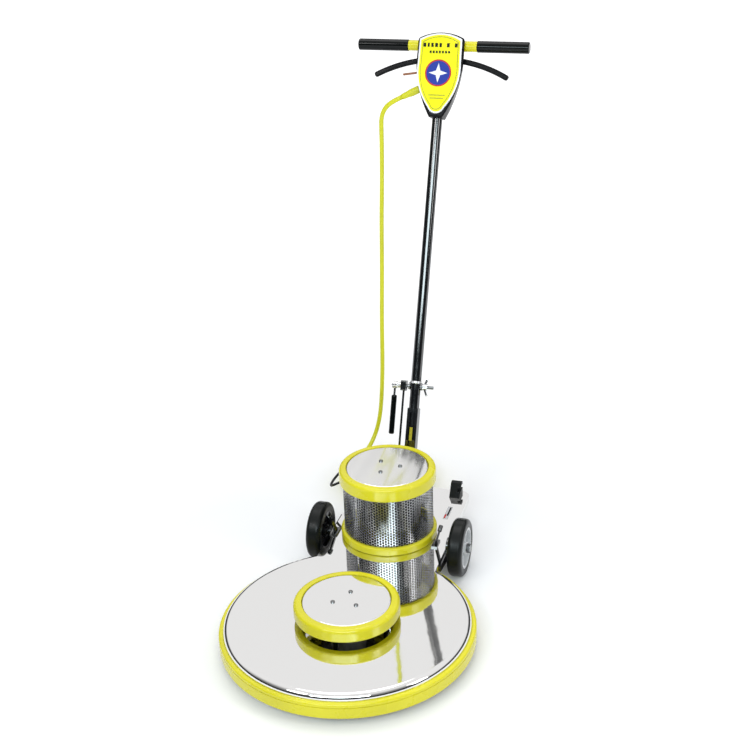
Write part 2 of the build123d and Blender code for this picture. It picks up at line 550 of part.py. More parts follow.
def handle_parts():
    save("handle_bracket", handle_bracket())
    save("bracket_bolts", bracket_bolts())
    pivot = across(-26, 26, PIVOT_Y, PIVOT_Z, 6) + across(19.8, 24.8, PIVOT_Y, PIVOT_Z, 10)
    save("pivot_bolt", pivot + across(-24.8, -19.8, PIVOT_Y, PIVOT_Z, 10))
    save("handle_socket", handle * (handle_socket() + rod_guide()))
    hole = Pos(0, CLAMP_AT, 0) * Rot(0, 90, 0) * extrude(Circle(4.05), 30, both=True)
    save("handle_tube", handle * (tube_between(SOCKET_TOP - 140, HOUSING_LOW + 44) - hole))
    save("cross_bolt", handle * cross_bolt())
    save("wing_nut", handle * wing_nut())
    save("release_lever", handle * release_lever())
    save("release_grip", handle * release_grip())
    save("lock_rod", handle * lock_rod())
    bar = Pos(-BAR_HALF, BAR_AT, 0) * Rot(0, 90, 0) * extrude(Circle(TUBE_R) - Circle(TUBE_R - 2), 2 * BAR_HALF)
    save("handle_bar", handle * bar)
    save("grips", group([handle * grip(-1), handle * grip(1)]))
    save("housing_front", handle * housing_half(True))
    save("housing_back", handle * housing_half(False))
    save("face_plate", handle * face_plate())
    save("power_switch", handle * (Pos(0, 1086, -6) * Box(38, 34, 30)))
    save("lever_left", handle * lever_blade(-1))
    save("lever_right", handle * lever_blade(1))
    save("safety_lever", handle * safety_lever())
    save("lever_pins", group([handle * pin for pin in lever_pins()]))
    save("strain_relief", handle * strain_relief())


# ---- cords -----------------------------------------------------------------------------------

def cord_solid(points, diameter, name):
    """A tube of straight runs joined by arcs as large as the runs allow."""
    points = [Vector(*p) for p in points]
    radii = []
    for a, b, c in zip(points, points[1:], points[2:]):
        turn = (b - a).get_angle(c - b)
        radii.append(0.45 * min((b - a).length, (c - b).length) / tan(radians(turn / 2)))
    path = FilletPolyline(*points, radius=radii) if radii else Line(*points)
    tube = sweep(Plane(origin=points[0], z_dir=points[1] - points[0]) * Circle(diameter / 2), path=path)
    length = path.length
    print(name, "length", round(length), "volume ratio", round(tube.volume / (pi * diameter ** 2 / 4 * length), 4))
    print("   radii", [round(r) for r in radii])
    return tube


def cords():
    exit_point = on_handle(*RELIEF_END)
    way = (exit_point - on_handle(*RELIEF_ROOT)).normalized()
    hang = [tuple(exit_point), tuple(exit_point + way * 28), (-142, 897.5, 988), (-153, 901.5, 963), (-154.3, 904, 932),
            (-155, 905, 880), (-157.5, 904, 790), (-162.5, 904.5, 680), (-166, 906, 545), (-171, 904, 405),
            (-173, 905, 275), (-178, 903, 175), (-184, 898, 108), (-194, 884, 60), (-208, 858, 25), (-224, 823, 9),
            (-236, 789, 6.2), (-241.9, 752, 6.2)]
    save("cord_tube", cord_solid(hang, CORD_D, "cord_tube"))
    save("cord_coil", ring(COIL_OUTER, COIL_INNER, 0.1, COIL_HIGH, COIL_X, COIL_Y))
    tail = [(-176, 617.5, 40), (-158, 600.5, 34), (-133, 590, 25.5), (-103, 586.5, 18.5), (-72, PLUG_Y, 15.5)]
    save("cord_tail", cord_solid(tail, CORD_D, "cord_tail"))
    body = rod((-72, PLUG_Y, 15.5), (-50, PLUG_Y, 15.5), 7, 12) + block(-50, -16, PLUG_Y - 16, PLUG_Y + 16, 2, 29)
    for z in (10, 17):
        body = body + block(-16, 4, PLUG_Y - 1.4, PLUG_Y + 7, z, z + 1.6)
    save("plug", body + rod((-16, PLUG_Y - 6, 14), (6, PLUG_Y - 6, 14), 2.4))
    loop = [(MOTOR_X - 74.9, MOTOR_Y + 79.3, 196), (-107, 475, 196), (-137, 484, 184), (-165, 480, 160),
            (-187, 478, 131), (-199, 492, 106), (-198, 516, 96), (-180, 534, 100), (-154, 543, 109),
            (-126, 547, 109), (-104, 548, 96), (*CABLE_HOLE, 77), (*CABLE_HOLE, 63.5)]
    save("motor_cable", cord_solid(loop, 6.5, "motor_cable"))


deck()
pad_drive()
motor()
running_gear()
handle_parts()
cords()
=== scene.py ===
"""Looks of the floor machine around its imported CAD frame. Metres."""
import json
from math import cos, pi, radians, sin, tau

import bmesh
import bpy
from mathutils import Matrix, Vector


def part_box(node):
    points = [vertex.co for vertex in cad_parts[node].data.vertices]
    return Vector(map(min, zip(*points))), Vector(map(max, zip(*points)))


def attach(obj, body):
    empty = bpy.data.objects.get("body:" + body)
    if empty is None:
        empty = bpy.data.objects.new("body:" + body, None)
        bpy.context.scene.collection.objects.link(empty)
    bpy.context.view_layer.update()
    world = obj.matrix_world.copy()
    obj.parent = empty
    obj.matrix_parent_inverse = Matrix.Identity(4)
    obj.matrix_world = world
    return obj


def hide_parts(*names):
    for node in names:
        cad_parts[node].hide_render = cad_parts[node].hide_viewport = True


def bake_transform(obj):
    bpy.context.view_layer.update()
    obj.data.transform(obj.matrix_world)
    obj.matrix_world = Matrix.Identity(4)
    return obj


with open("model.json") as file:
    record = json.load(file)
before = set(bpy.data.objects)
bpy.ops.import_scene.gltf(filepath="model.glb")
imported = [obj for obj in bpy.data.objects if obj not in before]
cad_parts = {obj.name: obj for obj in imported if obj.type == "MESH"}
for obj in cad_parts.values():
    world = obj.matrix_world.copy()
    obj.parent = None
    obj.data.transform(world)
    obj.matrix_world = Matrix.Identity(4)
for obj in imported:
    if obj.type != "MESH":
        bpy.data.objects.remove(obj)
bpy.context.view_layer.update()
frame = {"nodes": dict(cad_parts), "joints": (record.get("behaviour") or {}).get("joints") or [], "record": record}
nodes = frame["nodes"]

# The handle's frame, from its own tilt joint: X across, then up the tube, then towards the front
tilt = next(j for j in frame["joints"] if j["name"] == "handle_tilt")
slide = next(j for j in frame["joints"] if j["name"] == "lock_rod_slide")
PIVOT = Vector(tilt["pos_m"])
UP = Vector(slide["axis"]).normalized()
FRONT = Vector((1, 0, 0)).cross(UP).normalized()
motor_low, motor_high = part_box("motor_screen")
MOTOR = (motor_low + motor_high) / 2
DECK_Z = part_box("deck_shell")[1].z
LID_Z = 0.2  # mirror steel above this height belongs to the motor's lid, not to the deck
HUB_RECESS = 0.0125
WHEEL_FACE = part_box("wheel_right_hub")[1].x - HUB_RECESS


def on_handle(x, up, front=0.0):
    """A point in the handle's frame, measured from the tilt pivot."""
    return PIVOT + Vector((x, 0, 0)) + UP * up + FRONT * front


# ---- materials -------------------------------------------------------------------------------

def shader(name, color, metallic=0.0, rough=0.4, **sockets):
    """A principled material; extra sockets are given by name with _ for spaces."""
    m = bpy.data.materials.new(name)
    m.use_nodes = True
    b = m.node_tree.nodes["Principled BSDF"]
    b.inputs["Base Color"].default_value = (*color, 1)
    b.inputs["Metallic"].default_value = metallic
    b.inputs["Roughness"].default_value = rough
    for key, value in sockets.items():
        b.inputs[key.replace("_", " ")].default_value = value
    return m


def node(m, kind, **values):
    """A new node in a material or world; socket values are given like shader's."""
    n = m.node_tree.nodes.new(kind)
    for key, value in values.items():
        n.inputs[key.replace("_", " ")].default_value = value
    return n


def link(m, a, b):
    m.node_tree.links.new(a, b)


def coordinates(m, stretch=(1, 1, 1)):
    """Object coordinates, stretched, which stay with the piece as it moves."""
    where = node(m, "ShaderNodeTexCoord")
    mapping = node(m, "ShaderNodeMapping", Scale=stretch)
    link(m, where.outputs["Object"], mapping.inputs["Vector"])
    return mapping.outputs["Vector"]


def noise(m, scale, detail, stretch=(1, 1, 1)):
    n = node(m, "ShaderNodeTexNoise", Scale=scale, Detail=detail)
    link(m, coordinates(m, stretch), n.inputs["Vector"])
    return n.outputs["Fac"]


def ramp(m, source, stops):
    """A colour ramp of (position, grey or colour) stops."""
    r = node(m, "ShaderNodeValToRGB")
    elements = r.color_ramp.elements
    while len(elements) < len(stops):
        elements.new(0.5)
    for e, (at, value) in zip(elements, stops):
        e.position = at
        e.color = (*value, 1) if isinstance(value, tuple) else (value, value, value, 1)
    link(m, source, r.inputs["Fac"])
    return r.outputs["Color"]


def base(m):
    return m.node_tree.nodes["Principled BSDF"]


def vary_rough(m, source, low, high):
    link(m, ramp(m, source, [(0.35, low), (0.65, high)]), base(m).inputs["Roughness"])


def vary_color(m, source, dark, light):
    link(m, ramp(m, source, [(0.35, dark), (0.65, light)]), base(m).inputs["Base Color"])


def bump(m, source, strength, distance):
    b = node(m, "ShaderNodeBump", Strength=strength, Distance=distance)
    link(m, source, b.inputs["Height"])
    link(m, b.outputs["Normal"], base(m).inputs["Normal"])


def math(m, operation, a, b):
    """One maths node; a and b are sockets or numbers."""
    n = node(m, "ShaderNodeMath")
    n.operation = operation
    for i, value in enumerate((a, b)):
        if isinstance(value, (int, float)):
            n.inputs[i].default_value = value
        else:
            link(m, value, n.inputs[i])
    return n.outputs[0]


def axis(m, which):
    """One object coordinate, 0 for X, 1 for Y, 2 for Z."""
    split = node(m, "ShaderNodeSeparateXYZ")
    link(m, coordinates(m), split.inputs[0])
    return split.outputs[which]


def mirror_steel():
    """Polished steel with slight ripples in the deck and long soft ones in the motor's lid."""
    m = shader("mirror_steel", (0.83, 0.825, 0.81), 1.0, 0.035)
    lid = math(m, "GREATER_THAN", axis(m, 2), LID_Z)
    deck_gloss, lid_gloss = math(m, "MULTIPLY", noise(m, 9, 6), 0.07), math(m, "MULTIPLY", lid, 0.13)
    link(m, math(m, "ADD", deck_gloss, lid_gloss), base(m).inputs["Roughness"])
    long = math(m, "MULTIPLY", noise(m, 1.0, 1, (22, 0.8, 1)), math(m, "MULTIPLY", lid, 2.2))
    small = math(m, "MULTIPLY", noise(m, 26, 2), 0.045)
    bump(m, math(m, "ADD", long, small), 1.0, 0.002)
    return m


def moulded(name, color, rough=0.35, grain=700, strength=0.12, coat=0.0, shine=0.5):
    """Moulded plastic or rubber with a fine grain and uneven gloss."""
    m = shader(name, color, 0.0, rough, Coat_Weight=coat, Coat_Roughness=0.12, Specular_IOR_Level=shine)
    vary_rough(m, noise(m, 14, 5), rough * 0.8, min(1.0, rough * 1.3))
    darker = tuple(c * 0.88 for c in color)
    vary_color(m, noise(m, 6, 4), darker, color)
    bump(m, noise(m, grain, 2), strength, 0.0004)
    return m


def ink(name, color, rough=0.5, shine=0.2):
    """A printed film, nearly smooth."""
    return moulded(name, color, rough, 1200, 0.03, 0.0, shine)


def enamel(name, color, rough, shine=0.5):
    """Gloss paint with a light orange peel."""
    m = shader(name, color, 0.0, rough, Specular_IOR_Level=shine)
    vary_rough(m, noise(m, 20, 5), rough * 0.7, rough * 1.5)
    bump(m, noise(m, 260, 1), 0.1, 0.0004)
    return m


def metal(name, color, rough=0.3, brushed=(1, 1, 1), strength=0.15):
    """Bare or plated metal with fine working marks along one direction."""
    m = shader(name, color, 1.0, rough)
    marks = noise(m, 900, 3, brushed)
    vary_rough(m, marks, rough * 0.75, rough * 1.35)
    bump(m, marks, strength, 0.0003)
    return m


def fibre(name, color):
    """Coarse non-woven fibre."""
    m = shader(name, color, 0.0, 0.95, Sheen_Weight=0.3)
    vary_color(m, noise(m, 380, 6), tuple(c * 0.55 for c in color), color)
    bump(m, noise(m, 520, 6), 0.9, 0.002)
    return m


def hub_paint():
    """Silver on the outer face, with painted shade in black on the inner side and in the recess, by the distance
    from the machine's middle.
    """
    m = enamel("wheel_hub_paint", (0.7, 0.71, 0.72), 0.3)
    distance = math(m, "ABSOLUTE", axis(m, 0), 0)
    unshaded_outer_face = math(m, "GREATER_THAN", distance, WHEEL_FACE)
    # painted shade: black on the wheel's inner side and in the hub's recess, silver only on the outer face
    paint = ramp(m, unshaded_outer_face, [(0.0, (0.008, 0.008, 0.009)), (1.0, (0.72, 0.73, 0.74))])
    link(m, paint, base(m).inputs["Base Color"])
    return m


YELLOW = (0.74, 0.67, 0.008)
looks = {
    "mirror_steel": mirror_steel(),
    "yellow_trim": moulded("yellow_trim", YELLOW, 0.26, 500, 0.06, 0.2),
    "cast_grey": metal("cast_grey", (0.22, 0.22, 0.23), 0.55, (1, 1, 1), 0.5),
    "bearing_steel": metal("bearing_steel", (0.62, 0.63, 0.64), 0.22, (1, 1, 6)),
    "black_rubber": moulded("black_rubber", (0.005, 0.0065, 0.006), 0.34, 420, 0.12, 0.0, 0.22),
    # the screws' steel is darker than bare steel: painted shade for the dark recesses in their heads
    "screw_steel": metal("screw_steel", (0.24, 0.245, 0.25), 0.2),
    "black_paint": enamel("black_paint", (0.002, 0.003, 0.004), 0.1, 1.0),
    "pulley_metal": metal("pulley_metal", (0.6, 0.6, 0.62), 0.35, (1, 1, 8)),
    "driver_plastic": moulded("driver_plastic", (0.03, 0.03, 0.035), 0.5),
    "pad_fibre": fibre("pad_fibre", (0.72, 0.68, 0.55)),
    "belt_rubber": moulded("belt_rubber", (0.014, 0.014, 0.014), 0.6, 300, 0.4),
    "screen_steel": metal("screen_steel", (0.50, 0.505, 0.52), 0.22, (1, 1, 1), 0.03),
    "magnet_iron": metal("magnet_iron", (0.12, 0.115, 0.11), 0.5, (1, 1, 12), 0.6),
    "wheel_hub_paint": hub_paint(),
    "chrome_fittings": metal("chrome_fittings", (0.82, 0.83, 0.84), 0.08, (1, 1, 1), 0.03),
    "grip_rubber": moulded("grip_rubber", (0.002, 0.003, 0.003), 0.1, 90, 0.03, 0.0, 0.22),
    "yellow_paint": enamel("yellow_paint", YELLOW, 0.2),
    "housing_plastic": moulded("housing_plastic", (0.002, 0.002, 0.003), 0.3, 900, 0.2, 0.0, 0.15),
    "face_label": ink("face_label", (0.96, 0.93, 0.010)),
    "safety_plastic": moulded("safety_plastic", (0.30, 0.095, 0.02), 0.4),
    "cord_yellow": moulded("cord_yellow", (0.68, 0.67, 0.012), 0.36, 800, 0.1),
    "cable_black": moulded("cable_black", (0.006, 0.006, 0.006), 0.4, 800, 0.1, 0.0, 0.4),
}
base(looks["black_paint"]).inputs["IOR"].default_value = 1.65
white_print = ink("white_print", (0.92, 0.92, 0.92))
dark_print = ink("dark_print", (0.01, 0.012, 0.01))
olive_print = ink("olive_print", (0.20, 0.18, 0.01), 0.35, 0.5)
olive_sticker = ink("olive_sticker", (0.42, 0.36, 0.02))
blue_print = ink("blue_print", (0.02, 0.045, 0.36))
red_print = ink("red_print", (0.60, 0.04, 0.03))

for row in frame["record"]["subparts"]:
    mesh = nodes[row["node"]].data
    mesh.materials.clear()
    mesh.materials.append(looks[row["material_slot"]])


# ---- mesh helpers ----------------------------------------------------------------------------

def piece(name, verts, faces, material, body, smooth=True):
    """A mesh object that rides on a body, or on none where it will be blended."""
    mesh = bpy.data.meshes.new(name)
    mesh.from_pydata([tuple(v) for v in verts], [], faces)
    mesh.update()
    fix = bmesh.new()
    fix.from_mesh(mesh)
    bmesh.ops.recalc_face_normals(fix, faces=fix.faces)
    fix.to_mesh(mesh)
    fix.free()
    if smooth:
        for p in mesh.polygons:
            p.use_smooth = True
    mesh.materials.append(material)
    o = bpy.data.objects.new(name, mesh)
    bpy.context.scene.collection.objects.link(o)
    if body:
        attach(o, body)
    return o


def plate(name, outline, thick, place, material, body, bevel=0.0002):
    """A thin solid plate from an outline of (across, up) points, put in place by a function."""
    n = len(outline)
    verts = [place(x, y, 0.0) for x, y in outline] + [place(x, y, thick) for x, y in outline]
    faces = [tuple(range(n))[::-1], tuple(range(n, 2 * n))]
    faces += [(i, (i + 1) % n, n + (i + 1) % n, n + i) for i in range(n)]
    o = piece(name, verts, faces, material, body, smooth=False)
    edge = o.modifiers.new("edge", "BEVEL")
    edge.width, edge.segments, edge.limit_method = bevel, 2, "ANGLE"
    return o


def lathe(name, profile, place, material, body, steps=48):
    """A closed turned solid from (radius, height) points, put in place by a function."""
    verts, faces, n = [], [], len(profile)
    for i in range(steps):
        a = tau * i / steps
        verts += [place(r * cos(a), r * sin(a), h) for r, h in profile]
    for i in range(steps):
        j = (i + 1) % steps
        faces += [(i * n + k, j * n + k, j * n + (k + 1) % n, i * n + (k + 1) % n) for k in range(n)]
    return piece(name, verts, faces, material, body)


# ---- motor screen ----------------------------------------------------------------------------

SHEET_THICK, HOLE_PITCH, HOLE_SHARE = 0.0012, 0.0074, 0.445  # a hole's radius is this share of the pitch
SHEET_TUCK = 0.006  # how far the sheet reaches into each ring


def motor_screen():
    """The perforated sheet: staggered columns of round holes, each in a hexagonal cell, rolled into a cylinder."""
    radius, thick, pitch = (motor_high.x - motor_low.x) / 2, SHEET_THICK, HOLE_PITCH
    bottom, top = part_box("motor_base_ring")[1].z - SHEET_TUCK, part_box("motor_top_ring")[0].z + SHEET_TUCK
    columns = 2 * round(tau * radius / pitch / cos(pi / 6) / 2)
    step = tau * radius / columns
    rows = int((top - bottom) / pitch)
    hole, cell, sides = pitch * HOLE_SHARE, step / cos(pi / 6) / (2 * cos(pi / 6)), 12
    stretch = pitch / (2 * cell * cos(pi / 6))
    index, verts, faces = {}, [], []

    def on_sheet(along, z, depth):
        a, r = along / radius, radius - depth
        return (MOTOR.x + r * cos(a), MOTOR.y + r * sin(a), z)

    def corner(along, z, depth):
        """A cell's corner, shared with the cells beside it, which are found by the rounded place."""
        key = (round(along / step * 12) % (columns * 12), round(z * 4e4), depth)
        if key not in index:
            index[key] = len(verts)
            verts.append(on_sheet(along, z, depth))
        return index[key]

    per = sides // 6
    for column in range(columns):
        along = column * step
        for row in range(rows):
            z = bottom + (row + 0.5 + 0.5 * (column % 2)) * pitch
            rims, hexes = [], []
            for depth in (0.0, thick):
                hexes.append([corner(along + cell * cos(a), z + stretch * cell * sin(a), depth)
                              for a in (i * pi / 3 for i in range(6))])
                rims.append(list(range(len(verts), len(verts) + sides)))
                verts.extend(on_sheet(along + hole * cos(a), z + hole * sin(a), depth)
                             for a in (tau * i / sides for i in range(sides)))
            for k in range(6):
                n = (k + 1) % 6
                for level, order in ((0, 1), (1, -1)):
                    rim = [rims[level][(k * per + i) % sides] for i in range(per + 1)]
                    faces.append(tuple(([hexes[level][k], hexes[level][n]] + rim[::-1])[::order]))
            for k in range(sides):
                n = (k + 1) % sides
                faces.append((rims[0][k], rims[0][n], rims[1][n], rims[1][k]))
    mesh = bpy.data.meshes.new("screen_sheet")
    mesh.from_pydata(verts, [], faces)
    mesh.update()
    mesh.materials.append(looks["screen_steel"])
    o = bpy.data.objects.new("screen_sheet", mesh)
    bpy.context.scene.collection.objects.link(o)
    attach(o, "chassis")
    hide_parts("motor_screen")


# ---- cords -----------------------------------------------------------------------------------

def route_points(name, points, resolution=4):
    """The smooth line that a NURBS spline with these control points makes."""
    curve = bpy.data.curves.new(name + "_route", "CURVE")
    curve.dimensions = "3D"
    spline = curve.splines.new("NURBS")
    spline.points.add(len(points) - 1)
    for p, q in zip(spline.points, points):
        p.co = (*q, 1)
    spline.order_u = 3
    spline.use_endpoint_u = True
    spline.resolution_u = resolution
    holder = bpy.data.objects.new(name + "_route", curve)
    bpy.context.scene.collection.objects.link(holder)
    bpy.context.view_layer.update()
    line = bpy.data.meshes.new_from_object(holder)
    found = [v.co.copy() for v in line.vertices]
    bpy.data.objects.remove(holder)
    bpy.data.curves.remove(curve)
    return found


def tube(name, line, radius, material, body, sides=12):
    """A closed round tube along a line of points."""
    verts, faces = [], []
    side = (line[1] - line[0]).normalized().orthogonal().normalized()
    for i, p in enumerate(line):
        way = (line[min(i + 1, len(line) - 1)] - line[max(i - 1, 0)]).normalized()
        side = (side - way * side.dot(way)).normalized()
        other = way.cross(side)
        verts += [p + radius * (side * cos(a) + other * sin(a)) for a in (tau * k / sides for k in range(sides))]
    for i in range(len(line) - 1):
        a, b = i * sides, (i + 1) * sides
        faces += [(a + k, a + (k + 1) % sides, b + (k + 1) % sides, b + k) for k in range(sides)]
    faces += [tuple(range(sides))[::-1], tuple(range(len(verts) - sides, len(verts)))]
    return piece(name, verts, faces, material, body)


CORD_D, LEAD_D = 0.012, 0.0065
COIL = Vector((-0.119, 0.728, 0))
COIL_LAYERS, COIL_TURNS, TURN_POINTS = 4, 6, 16
COIL_OUT, TURN_STEP, FIRST_Z = 0.1187, 0.0123, 0.0062  # outer turn's radius, spacing, height of the first layer
TIE_WIDTH, TIE_THICK, TIE_CORNER, TIE_ANGLE = 0.018, 0.0016, 0.006, radians(70)
TIE_HIGH, TIE_INNER, TIE_OUTER = 0.0508, 0.0493, 0.1264
RELIEF_ROOT, RELIEF_END = (-0.051, 1.0245), (-0.096, 1.0024)  # across and up in the handle's frame
BOOT_PROFILE = [
    (0.0061, -0.013), (0.0070, -0.013), (0.0070, 0.0004), (0.0092, 0.0008), (0.0096, 0.0025),
    (0.0096, 0.0235), (0.0092, 0.0270), (0.0084, 0.0315), (0.0080, 0.0350), (0.0077, 0.0420),
    (0.0072, 0.0480), (0.0066, 0.0498), (0.0061, 0.0498)]
CORD_HANG = [
    (-0.142, 0.8975, 0.988), (-0.153, 0.9015, 0.963), (-0.1543, 0.904, 0.932), (-0.155, 0.905, 0.880),
    (-0.1575, 0.904, 0.790), (-0.1625, 0.9045, 0.680), (-0.166, 0.906, 0.545), (-0.171, 0.904, 0.405),
    (-0.173, 0.905, 0.275), (-0.178, 0.903, 0.175), (-0.184, 0.898, 0.108), (-0.194, 0.884, 0.060),
    (-0.208, 0.858, 0.025), (-0.224, 0.823, 0.009), (-0.236, 0.789, FIRST_Z), (-0.2419, 0.752, FIRST_Z)]
CORD_TAIL = [(-0.176, 0.6175, 0.040), (-0.158, 0.6005, 0.034), (-0.133, 0.590, 0.0255), (-0.103, 0.5865, 0.0185),
             (-0.072, 0.587, 0.0155)]
GROMMET = Vector((-0.098, 0.548, 0))
LEAD_ROUTE = [
    (-0.0829, 0.4493, 0.196), (-0.107, 0.475, 0.196), (-0.137, 0.484, 0.184), (-0.165, 0.480, 0.160),
    (-0.187, 0.478, 0.131), (-0.199, 0.492, 0.106), (-0.198, 0.516, 0.096), (-0.180, 0.534, 0.100),
    (-0.154, 0.543, 0.109), (-0.126, 0.547, 0.109), (-0.104, 0.548, 0.096), (-0.098, 0.548, 0.077),
    (-0.098, 0.548, 0.0635)]


def coil_points():
    """The put-away turns: layers that run inwards and outwards in turn, from the left round to the front."""
    total = COIL_LAYERS * COIL_TURNS * TURN_POINTS
    outset = 1 / cos(pi / TURN_POINTS)  # the smooth line runs inside its points
    points = []
    for i in range(total + TURN_POINTS // 8 + 1):
        turn = min(i, total - 1) / TURN_POINTS
        layer = min(int(turn / COIL_TURNS), COIL_LAYERS - 1)
        within = turn - layer * COIL_TURNS
        inward = within if layer % 2 == 0 else COIL_TURNS - within
        r = (COIL_OUT - TURN_STEP * min(max(inward - 0.5, 0), COIL_TURNS - 1)) * outset
        climb = max(0.0, within - (COIL_TURNS - 0.5)) * 2 if layer < COIL_LAYERS - 1 else 0.0
        z = FIRST_Z + TURN_STEP * (layer + climb)
        a = pi + tau * i / TURN_POINTS
        points.append((COIL.x + r * cos(a), COIL.y + r * sin(a), z))
    return points


def relief_boot():
    """The smooth boot where the cord leaves the housing, which narrows to the cord."""
    root, end = on_handle(*RELIEF_ROOT), on_handle(*RELIEF_END)
    way = (end - root).normalized()
    side = way.orthogonal().normalized()
    other = way.cross(side)
    boot = lathe("cord_boot", BOOT_PROFILE, lambda x, y, h: root + side * x + other * y + way * h,
                 looks["cord_yellow"], "handle")
    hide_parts("strain_relief")


def mains_cord():
    """The whole cord in one tube: down from the housing, round the coil and on to the plug."""
    exit_point = on_handle(*RELIEF_END)
    way = (exit_point - on_handle(*RELIEF_ROOT)).normalized()
    route = [tuple(exit_point), tuple(exit_point + way * 0.028)] + CORD_HANG + coil_points() + CORD_TAIL
    line = route_points("mains_cord", route)
    cord = tube("mains_cord", line, CORD_D / 2, looks["cord_yellow"], None, 10)
    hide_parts("cord_tube", "cord_coil", "cord_tail")
    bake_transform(cord)
    coil_tie()


def coil_tie():
    """A black strap round the coil's section, opposite the plug, kept just above the floor."""
    inner, outer, high, cut = TIE_INNER, TIE_OUTER, TIE_HIGH, TIE_CORNER
    section = ((inner, cut), (inner, high - cut), (inner + cut, high), (outer - cut, high),
               (outer, high - cut), (outer, cut), (outer - cut, 0.0), (inner + cut, 0.0))
    centre = Vector(((inner + outer) / 2, high / 2))
    verts, faces = [], []
    for grow in (0.0, TIE_THICK):
        for across in (-TIE_WIDTH / 2, TIE_WIDTH / 2):
            for point in section:
                d = Vector(point) - centre
                q = centre + d * (1 - grow / d.length)
                verts.append((COIL.x + q.x * cos(TIE_ANGLE) - across * sin(TIE_ANGLE),
                              COIL.y + q.x * sin(TIE_ANGLE) + across * cos(TIE_ANGLE), max(q.y, 0.0002)))
    n = len(section)
    for i in range(n):
        j = (i + 1) % n
        faces += [(i, j, n + j, n + i), (2 * n + j, 2 * n + i, 3 * n + i, 3 * n + j),
                  (i, 2 * n + i, 2 * n + j, j), (n + j, 3 * n + j, 3 * n + i, n + i)]
    return piece("coil_tie", verts, faces, looks["cable_black"], "chassis", smooth=False)


def motor_cable():
    """The short lead from the motor's side into the tail, with a boot and a grommet at its ends."""
    start = LEAD_ROUTE[0]
    line = route_points("motor_cable", LEAD_ROUTE, 8)
    cable = tube("motor_lead", line, LEAD_D / 2, looks["cable_black"], "chassis")
    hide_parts("motor_cable")
    way = (Vector(LEAD_ROUTE[1]) - Vector(start)).normalized()
    side = way.orthogonal().normalized()
    other = way.cross(side)
    rubber = looks["black_rubber"]
    lathe("cable_grommet", [(0.0034, 0.0002), (0.0085, 0.0002), (0.0085, 0.003), (0.006, 0.009), (0.0034, 0.009)],
          lambda x, y, h: GROMMET + Vector((x, y, DECK_Z + h)), rubber, "chassis", 32)
    lathe("cable_boot", [(0.0034, -0.0006), (0.0080, -0.0006), (0.0066, 0.014), (0.0034, 0.014)],
          lambda x, y, h: Vector(start) + way * h + side * x + other * y, rubber, "chassis", 32)


# ---- printed faces ---------------------------------------------------------------------------

FACE_FRONT = 0.0261  # the printed plate's back, in front of the handle's axis
FIELD, LINE, INNER, FIRST_INK, SECOND_INK, THIRD_INK = 0.0014, 0.0016, 0.0018, 0.0020, 0.0022, 0.0024
BLOCK_WIDTHS = (7, 5, 6, 7, 6, 0, 7, 0, 7)  # mm, with 0 for a gap
CHANNEL_FRONT = 0.0131


def arc_through(a, b, c, count=12):
    """Points from a to c on the circle through a, b and c."""
    (ax, ay), (bx, by), (cx, cy) = a, b, c
    aa, bb, cc = ax * ax + ay * ay, bx * bx + by * by, cx * cx + cy * cy
    d = 2 * (ax * (by - cy) + bx * (cy - ay) + cx * (ay - by))
    ux = (aa * (by - cy) + bb * (cy - ay) + cc * (ay - by)) / d
    uy = (aa * (cx - bx) + bb * (ax - cx) + cc * (bx - ax)) / d
    centre = Vector((ux, uy))
    start, end = Vector(a) - centre, Vector(c) - centre
    sweep = start.angle_signed(end)
    turned = [centre + Matrix.Rotation(-sweep * i / count, 2) @ start for i in range(count + 1)]
    return [(p.x, p.y) for p in turned]


def shield(inset):
    """The face's outline, straight above its shoulders and narrowing to a rounded tip, moved inwards."""
    foot = (0.0205 - inset * 0.55, 0.9745 + inset * 0.85)
    half = 0.055 - inset
    right = arc_through(foot, (0.0458 - inset * 0.9, 1.018 + inset * 0.25), (half, 1.085), 16)
    shoulder = 1.1437 - inset * 0.9
    top = arc_through((half - 0.001, shoulder), (0, 1.158 - inset), (0.001 - half, shoulder))
    left = [(-x, y) for x, y in reversed(right)]
    tip = arc_through((-foot[0], foot[1]), (0, 0.9605 + inset * 1.1), foot, 14)[1:-1]
    return right + top + left + tip


def circle(r, x, y, count=48):
    return [(x + r * cos(tau * i / count), y + r * sin(tau * i / count)) for i in range(count)]


def star(outer, inner, x, y, points=4):
    """A plain star with its tips at the outer radius and its notches at the inner one."""
    found = []
    for i in range(points * 2):
        r = outer if i % 2 == 0 else inner
        a = pi / 2 + pi * i / points
        found.append((x + r * cos(a), y + r * sin(a)))
    return found


def bar_outline(x0, x1, y0, y1):
    return [(x0, y0), (x1, y0), (x1, y1), (x0, y1)]


